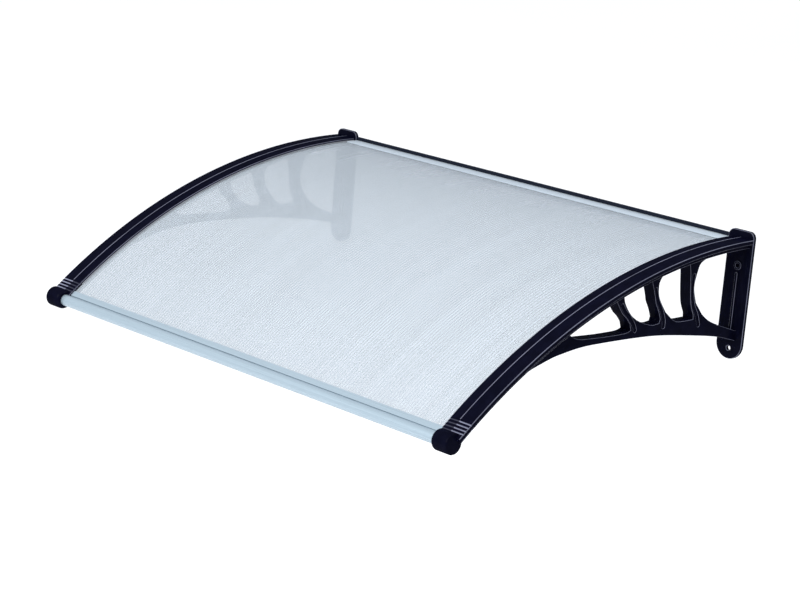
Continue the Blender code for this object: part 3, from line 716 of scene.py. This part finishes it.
def build_front_cap(label, side):
    sizes = bpy.context.scene.canopy_sizes
    builder = bmesh.new()
    places = cap_places(-(on_arc(sizes.nose_angle, 0) - on_arc(sizes.rail_end, 0)).length)
    rings = [lambda depth: on_arc(sizes.rail_end, depth)]
    rings += [lambda depth, along=along: from_nose(along, depth) for along, _ in places[1:]]
    add_sweep(builder, [cap_section(sunk) for _, sunk in places], rings, side)
    add_lathe(builder, nose_profile(), from_nose(0, NOSE["depth"]), side)
    axis, ahead = from_nose(0, 0), (from_nose(1, 0) - from_nose(0, 0))

    def gloss_and_highlight_marks(middle):
        """The grooves shine, more on their outer half."""
        u = side * middle.x - half_spacing()
        along = (Vector(middle.yz) - axis).dot(ahead)
        place = (-FRONT_GROOVE - along) / sizes.groove_pitch
        off = abs(place - round(place)) * sizes.groove_pitch
        grooved = along <= CAP_BODY_END and off < GROOVE["wide"] / 2 + 0.3
        if not grooved or not 0 <= round(place) < sizes.groove_count:
            return 0.0
        if abs(u) < GROOVE_SHINE["ridge"] or not GROOVE_SHINE["from"] < u < GROOVE_SHINE["to"]:
            return 0.0
        return GROOVE["outer_gloss_and_highlight" if u > 0 else "inner_gloss_and_highlight"]
    return finished("grooved_front_cap_" + label, builder, "plastic", 40.0,
                    ["front_cap_" + label], gloss_and_highlight_marks)


BAR = {"top": 4.2, "bottom": 13.2, "thick": 1.7, "upper_end": -22.0, "lower_end": -18.0, "slot_end": -12.4,
       "short_of_ridge": 20.3, "groove": 1.6, "groove_deep": 2.2, "groove_back": 0.4}


def bar_outline():
    """The front bar's outline from the nose axis: two lips, a groove and the bead's round."""
    top, bottom, thick = BAR["top"], BAR["bottom"], BAR["thick"]
    radius, depth, slot, end = BEAD["radius"], BEAD["depth"], BAR["slot_end"], BAR["upper_end"]
    meets = [math.sqrt(radius ** 2 - (depth - level) ** 2) for level in (top, bottom)]
    start, stop = math.atan2(depth - top, -meets[0]), math.atan2(depth - bottom, -meets[1])
    near = -meets[0] - BAR["groove_back"]
    far, deep = near - BAR["groove"], top + BAR["groove_deep"]
    line = [(end, top + thick), (end + 0.3, top + 0.2), (end + 0.8, top), (far - 0.2, top), (far, top + 0.2),
            (far, deep), (near, deep), (near, top)]
    line += [(radius * math.cos(a), depth - radius * math.sin(a))
             for a in (start - (start - stop) * k / 60 for k in range(61))]
    return line + [(BAR["lower_end"], bottom), (BAR["lower_end"], bottom - thick), (slot, bottom - thick),
                   (slot, top + thick)]


def build_front_bar():
    builder = bmesh.new()
    lip_end, bead_end = half_spacing() - BAR["short_of_ridge"], half_spacing() + BEAD["end"]
    add_prism(builder, [tuple(from_nose(*p)) for p in bar_outline()], -lip_end, lip_end)
    centre = from_nose(0, BEAD["depth"])
    outer, bore = circle(BEAD["radius"], 64, centre), circle(BEAD["bore"], 64, centre)
    rings = [[builder.verts.new((x, y, z)) for y, z in line]
             for x, line in ((-bead_end, outer), (bead_end, outer), (bead_end, bore), (-bead_end, bore))]
    bridge(builder, rings + rings[:1], closed=True)
    return finished("lipped_front_bar", builder, "front_bar", 30.0, ["front_bar"])


REAR_BAR = {"back": 3.0, "lip": 30.0, "depths": (4.4, 5.9, 11.5, 13.0), "foot": -8.7}
WALL_SEAL = {"low": 9.0, "high": 14.8, "thick": 4.2}


def wall_half():
    """Half the length of what runs along the wall between the plates."""
    return half_spacing() - PLATE_HALF - PLATE_CLEARANCE


def build_rear_bar():
    """Both lips are followed there and back: the upper one's top and underside, then the lower one's."""
    builder = bmesh.new()
    ends = [angle_at(REAR_BAR["back"]), angle_at(REAR_BAR["lip"])]
    lips = []
    for depth in REAR_BAR["depths"]:
        lips += [tuple(on_arc(ends[0] + (ends[1] - ends[0]) * k / 8, depth)) for k in range(9)]
        ends.reverse()
    foot = REAR_BAR["foot"]
    outline = [(0, lips[0][1]), *lips, (-REAR_BAR["back"], foot), (0, foot)]
    add_prism(builder, outline, -wall_half(), wall_half())
    return finished("lipped_rear_bar", builder, "rear_bar", 30.0, ["rear_bar"])


def build_wall_seal():
    builder = bmesh.new()
    low, high, thick = WALL_SEAL["low"], WALL_SEAL["high"], WALL_SEAL["thick"]
    outline = rounded([(0, low), (-thick, low), (-thick, high - 0.2), (1 - thick, high), (0, high)],
                      [0, 0.6, 0.8, 0.8, 0], 4)
    add_prism(builder, outline, -wall_half(), wall_half())
    return finished("dark_wall_seal", builder, "wall_seal", 40.0, ["wall_seal"])


# Pieces grown from geometry nodes

def geometry_tree(name, inputs):
    tree = bpy.data.node_groups.new(name, "GeometryNodeTree")
    tree.interface.new_socket("Geometry", in_out="OUTPUT", socket_type="NodeSocketGeometry")
    for label, kind in inputs.items():
        tree.interface.new_socket(label, in_out="INPUT", socket_type="NodeSocket" + kind.capitalize())
    nodes = Nodes(tree)
    group = tree.nodes.new("NodeGroupInput")
    given = {label: Value(nodes, group.outputs[label]) for label in inputs}
    return tree, nodes, given


def end_tree(nodes, geometry, finish):
    plain = nodes.add("GeometryNodeRealizeInstances", {}, {0: geometry})
    painted = nodes.add("GeometryNodeSetMaterial", {}, {"Geometry": plain, "Material": finish})
    nodes.add("NodeGroupOutput", {}, {0: painted})


def grown(name, tree, values, base=None):
    """A plain mesh object from a node tree, with its inputs set by their identifiers."""
    holder = bpy.data.objects.new(name, base or bpy.data.meshes.new(name))
    bpy.context.scene.collection.objects.link(holder)
    modifier = holder.modifiers.new("shape", "NODES")
    modifier.node_group = tree
    for item in tree.interface.items_tree:
        if item.in_out == "INPUT" and item.name in values:
            modifier[item.identifier] = values[item.name]
    graph = bpy.context.evaluated_depsgraph_get()
    mesh = bpy.data.meshes.new_from_object(holder.evaluated_get(graph))
    holder.modifiers.remove(modifier)
    holder.data = mesh
    if not mesh.polygons:
        raise RuntimeError(name + " came out empty")
    return holder


ARC_INPUTS = {"Radius": "float", "Centre Y": "float", "Centre Z": "float", "Start Angle": "float",
              "End Angle": "float"}


def bent(nodes, given, flat):
    """Bends a flat box: X stays, Y from -0.5 to 0.5 runs along the arc and Z adds to the radius."""
    x, y, z = nodes.split(nodes.add("GeometryNodeInputPosition"))
    angle = given["Start Angle"] + (given["End Angle"] - given["Start Angle"]) * (y + 0.5)
    radius = given["Radius"] + z
    new = nodes.add("ShaderNodeCombineXYZ", {}, {0: x, 1: given["Centre Y"] - radius * angle.maths("SINE"),
                                                 2: given["Centre Z"] + radius * angle.maths("COSINE")})
    return nodes.add("GeometryNodeSetPosition", {}, {"Geometry": flat, "Position": new})


def skin_tree():
    """One skin of the sheet: a closed thin box, bent along the arc."""
    tree, nodes, given = geometry_tree("Sheet skin", {"Width": "float", "Thickness": "float", **ARC_INPUTS,
                                                      "Steps": "int", "Material": "material"})
    size = nodes.add("ShaderNodeCombineXYZ", {}, {0: given["Width"], 1: 1.0, 2: given["Thickness"]})
    box = nodes.add("GeometryNodeMeshCube", {}, {"Size": size, "Vertices X": 2, "Vertices Y": given["Steps"],
                                                 "Vertices Z": 2})
    end_tree(nodes, bent(nodes, given, box), given["Material"])
    return tree


def rib_tree():
    """The ribs between the skins: one bent wall, repeated across the sheet."""
    tree, nodes, given = geometry_tree("Sheet ribs", {
        "Count": "int", "Pitch": "float", "Rib Thickness": "float", "Height": "float", **ARC_INPUTS,
        "Steps": "int", "Material": "material"})
    size = nodes.add("ShaderNodeCombineXYZ", {}, {0: given["Rib Thickness"], 1: 1.0, 2: given["Height"]})
    box = nodes.add("GeometryNodeMeshCube", {}, {"Size": size, "Vertices X": 2, "Vertices Y": given["Steps"],
                                                 "Vertices Z": 2})
    wall = bent(nodes, given, box)
    first = given["Pitch"] * (given["Count"] - 1.0) * -0.5
    start = nodes.add("ShaderNodeCombineXYZ", {}, {0: first})
    step = nodes.add("ShaderNodeCombineXYZ", {}, {0: given["Pitch"]})
    line = nodes.add("GeometryNodeMeshLine", {"mode": "OFFSET"},
                     {"Count": given["Count"], "Start Location": start, "Offset": step})
    row = nodes.add("GeometryNodeInstanceOnPoints", {}, {"Points": line, "Instance": wall})
    end_tree(nodes, row, given["Material"])
    return tree


def screw_tree():
    """One screw, set at each point with that point's tilt."""
    tree, nodes, given = geometry_tree("Rail screws", {"Geometry": "geometry", "Screw": "object",
                                                       "Material": "material"})
    tilt = nodes.add("GeometryNodeInputNamedAttribute", {"data_type": "FLOAT"}, {"Name": "tilt"})
    turn = nodes.add("ShaderNodeCombineXYZ", {}, {0: tilt})
    screw = nodes.add("GeometryNodeObjectInfo", {}, {"Object": given["Screw"]}, "Geometry")
    row = nodes.add("GeometryNodeInstanceOnPoints", {}, {"Points": given["Geometry"], "Instance": screw,
                                                         "Rotation": turn})
    end_tree(nodes, row, given["Material"])
    return tree


SHEET = {"top": 6.2, "skin": 0.5, "rib": 0.4, "rear_reach": 7.1, "front_along": -12.7, "edge_inside": 1.5}


def build_sheet():
    sizes = bpy.context.scene.canopy_sizes
    thick, skin = sizes.sheet_thickness, SHEET["skin"]
    front = from_nose(SHEET["front_along"], SHEET["top"])
    arc = {"Centre Y": sizes.centre_behind_wall * MM,
           "Centre Z": (sizes.ridge_at_wall - sizes.ridge_radius) * MM,
           "Start Angle": angle_at(SHEET["rear_reach"]), "End Angle": angle_at(-front.x, SHEET["top"])}
    width = sizes.ridge_spacing - 2 * SHEET["edge_inside"]
    skins, walls = skin_tree(), rib_tree()
    pieces = []
    for name, depth in (("upper", SHEET["top"] + skin / 2), ("lower", SHEET["top"] + thick - skin / 2)):
        pieces.append(grown("sheet_" + name + "_skin", skins, {
            **arc, "Width": width * MM, "Thickness": skin * MM, "Radius": (sizes.ridge_radius - depth) * MM,
            "Steps": 161, "Material": finish_of("skin")}))
    count = int(width / sizes.rib_pitch)
    pieces.append(grown("sheet_ribs", walls, {
        **arc, "Count": count, "Pitch": sizes.rib_pitch * MM, "Rib Thickness": SHEET["rib"] * MM,
        "Height": (thick - 2 * skin) * MM, "Radius": (sizes.ridge_radius - SHEET["top"] - thick / 2) * MM,
        "Steps": 81, "Material": finish_of("rib")}))
    for piece in pieces:
        piece.data.shade_smooth()
        piece.data.set_sharp_from_angle(angle=math.radians(40))
        hand_over(piece, ["sheet"])
    return pieces


SCREW_SHARES = (0.09, 0.26, 0.56, 0.86)  # of the rail's arc
SCREW_PLACE = (5.6, 15.7)  # outwards from the ridge line and below it


def screw_mesh():
    """A pan-head screw that points up, with its seat at the origin and a cross on the head's end."""
    builder = bmesh.new()
    segments = 24
    profile = [(0.0, 8.6), (1.0, 8.6), (1.75, 7.6), (1.75, 0.0), (3.3, 0.0), (3.3, -0.9), (3.0, -1.6),
               (2.3, -2.1), (0.0, -2.2)]
    rings = []
    for radius, height in profile:
        flat = circle(radius, segments) if radius else [(0, 0)]
        rings.append([builder.verts.new((x, y, height)) for x, y in flat])
    join_turned(builder, rings, segments)
    for wide, narrow in ((2.0, 0.45), (0.45, 2.0)):
        outline = [(-narrow, -2.35), (narrow, -2.35), (narrow * 0.8, -2.2), (-narrow * 0.8, -2.2)]
        add_prism(builder, outline, -wide, wide)
    bmesh.ops.recalc_face_normals(builder, faces=builder.faces)
    bmesh.ops.scale(builder, vec=(MM, MM, MM), verts=builder.verts)
    mesh = bpy.data.meshes.new("screw")
    builder.to_mesh(mesh)
    builder.free()
    return mesh


def build_screws():
    places, tilts, solids = [], [], []
    for label, side in SIDES.items():
        for number, share in enumerate(SCREW_SHARES, 1):
            angle = rear_angle() + (bpy.context.scene.canopy_sizes.rail_end - rear_angle()) * share
            places.append((side * (half_spacing() + SCREW_PLACE[0]), *on_arc(angle, SCREW_PLACE[1])))
            tilts.append(angle)
            solids.append("strip_screw_" + label + "_" + str(number))
    points = bpy.data.meshes.new("screw places")
    points.from_pydata([tuple(c * MM for c in place) for place in places], [], [])
    points.attributes.new("tilt", "FLOAT", "POINT").data.foreach_set("value", tilts)
    pattern = bpy.data.objects.new("screw pattern", screw_mesh())
    bpy.context.scene.collection.objects.link(pattern)
    screws = grown("rail_screws", screw_tree(), {"Screw": pattern, "Material": finish_of("screws")}, points)
    bpy.data.objects.remove(pattern)
    screws.data.shade_smooth()
    screws.data.set_sharp_from_angle(angle=math.radians(35))
    return hand_over(screws, solids)


# Stage

CAMERA_PLACE = (2.7494, -3.0643, 0.7445)
CAMERA_YAW, CAMERA_PITCH, CAMERA_ROLL = (math.radians(a) for a in (44.8773, 13.2261, -4.9178))
CAMERA_LENS = 105.75
FLOOR_HEIGHT = -1.0
FLOOR_REACH = 40.0


def build_camera():
    ahead = Vector((-math.sin(CAMERA_YAW) * math.cos(CAMERA_PITCH),
                    math.cos(CAMERA_YAW) * math.cos(CAMERA_PITCH), -math.sin(CAMERA_PITCH)))
    right = ahead.cross(Vector((0, 0, 1))).normalized()
    down = ahead.cross(right)
    turned = math.cos(CAMERA_ROLL) * right + math.sin(CAMERA_ROLL) * down
    lower = -math.sin(CAMERA_ROLL) * right + math.cos(CAMERA_ROLL) * down
    data = bpy.data.cameras.new("camera")
    data.lens, data.sensor_width, data.sensor_fit = CAMERA_LENS, 36.0, "HORIZONTAL"
    data.clip_end = 100.0
    camera = bpy.data.objects.new("camera", data)
    bpy.context.scene.collection.objects.link(camera)
    camera.matrix_world = axes(turned, -lower, -ahead, CAMERA_PLACE)
    bpy.context.scene.camera = camera


def build_light(name, place, aim, size, watts, tint=(1, 1, 1)):
    data = bpy.data.lights.new(name, "AREA")
    data.shape, data.size, data.size_y, data.energy, data.color = "RECTANGLE", size[0], size[1], watts, tint
    lamp = bpy.data.objects.new(name, data)
    bpy.context.scene.collection.objects.link(lamp)
    lamp.location = place
    lamp.rotation_euler = (Vector(aim) - Vector(place)).to_track_quat("-Z", "Y").to_euler()


def build_floor():
    def paint(nodes, where):
        tone = nodes.noise(where, 0.4, 2.0)
        return {"Base Color": nodes.mix(tone, (0.90, 0.90, 0.905, 1), (0.94, 0.94, 0.94, 1)),
                "Roughness": 0.9, "Emission Color": (1, 1, 1, 1), "Emission Strength": 0.14,
                "Normal": bumped(nodes, nodes.noise(where, 60.0, 3.0), 0.05, 0.002)}
    mesh = bpy.data.meshes.new("pale_floor")
    corners = ((-1, -1), (1, -1), (1, 1), (-1, 1))
    places = [(x * FLOOR_REACH, y * FLOOR_REACH, FLOOR_HEIGHT) for x, y in corners]
    mesh.from_pydata(places, [], [(0, 1, 2, 3)])
    mesh.materials.append(surface("pale floor", paint))
    floor = bpy.data.objects.new("pale_floor", mesh)
    bpy.context.scene.collection.objects.link(floor)


WORLD = {"dim": (0.30, 0.34, 0.40, 1), "bright": (1.0, 1.0, 1.0, 1), "strength": 1.25}


def build_world():
    """A studio that is bright overhead and in front, and dim towards the wall."""
    world = bpy.data.worlds.new("studio")
    world.use_nodes = True
    nodes = Nodes(world.node_tree)
    _, away, height = nodes.split(nodes.add("ShaderNodeTexCoord", output="Generated"))
    share = nodes.range(height * 0.6 + away * -0.5, -0.25, 0.75, 0.0, 1.0)
    back = world.node_tree.nodes["Background"]
    nodes.put(back, "Color", nodes.mix(share, WORLD["dim"], WORLD["bright"]))
    nodes.put(back, "Strength", WORLD["strength"])
    bpy.context.scene.world = world
    bpy.context.scene.view_settings.view_transform = "Standard"


# Operators and panel

def operator(idname, label, note, action):
    """An operator class whose execute runs the action and ends well only if the action does."""
    def execute(self, context):
        action()
        return {"FINISHED"}
    name = "CANOPY_OT_" + idname
    return type(name, (bpy.types.Operator,), {
        "__doc__": note, "bl_idname": "canopy." + idname, "bl_label": label,
        "bl_options": {"REGISTER", "UNDO"}, "execute": execute})


def both_sides(action):
    for label, side in SIDES.items():
        action(label, side)


def build_stage():
    build_camera()
    build_world()
    build_floor()
    build_light("key", (1.2, -1.2, 2.6), (0, -0.3, 0), (2.4, 2.4), 40.0)
    build_light("front", (0.2, -2.7, 1.1), (0, -0.5, -0.1), (2.6, 1.4), 75.0)
    build_light("wall side", (1.3, 1.0, 1.5), (0, -0.3, 0), (2.0, 1.2), 25.0, (0.93, 0.96, 1.0))


OPERATORS = [
    operator("brackets", "Brackets", "Builds both moulded wall brackets", lambda: both_sides(build_bracket)),
    operator("cover_strips", "Cover strips", "Builds the ridged strips over the sheet's sides",
             lambda: both_sides(build_cover_strip)),
    operator("strip_seals", "Strip seals", "Builds the grey seals under the cover strips",
             lambda: both_sides(build_strip_seal)),
    operator("front_caps", "Front caps", "Builds the grooved caps with their round noses",
             lambda: both_sides(build_front_cap)),
    operator("sheet", "Sheet", "Builds the sheet's two skins and its ribs", build_sheet),
    operator("front_bar", "Front bar", "Builds the front bar with its lips and bead", build_front_bar),
    operator("rear_bar", "Rear bar", "Builds the bar along the wall", build_rear_bar),
    operator("wall_seal", "Wall seal", "Builds the dark seal over the rear bar", build_wall_seal),
    operator("screws", "Rail screws", "Sets the screws under both rails", build_screws),
    operator("stage", "Stage", "Adds the floor, the lights and the camera", build_stage),
]


class CANOPY_PT_panel(bpy.types.Panel):
    """Lists the canopy's sizes, colours and build steps."""

    bl_idname = "CANOPY_PT_panel"
    bl_label = "Door Canopy"
    bl_space_type = "VIEW_3D"
    bl_region_type = "UI"
    bl_category = "Canopy"

    def draw(self, context):
        for group in (context.scene.canopy_sizes, context.scene.canopy_colours):
            for name in group.bl_rna.properties.keys():
                if name not in ("rna_type", "name"):
                    self.layout.prop(group, name)
        for step in OPERATORS:
            self.layout.operator(step.bl_idname)


CLASSES = [CanopySizes, CanopyColours, *OPERATORS, CANOPY_PT_panel]


def register():
    for item in CLASSES:
        bpy.utils.register_class(item)
    bpy.types.Scene.canopy_sizes = PointerProperty(type=CanopySizes)
    bpy.types.Scene.canopy_colours = PointerProperty(type=CanopyColours)


def unregister():
    del bpy.types.Scene.canopy_colours
    del bpy.types.Scene.canopy_sizes
    for item in reversed(CLASSES):
        bpy.utils.unregister_class(item)


def main():
    register()
    for step in OPERATORS:
        getattr(bpy.ops.canopy, step.bl_idname.split(".")[1])()


if __name__ == "__main__":
    main()
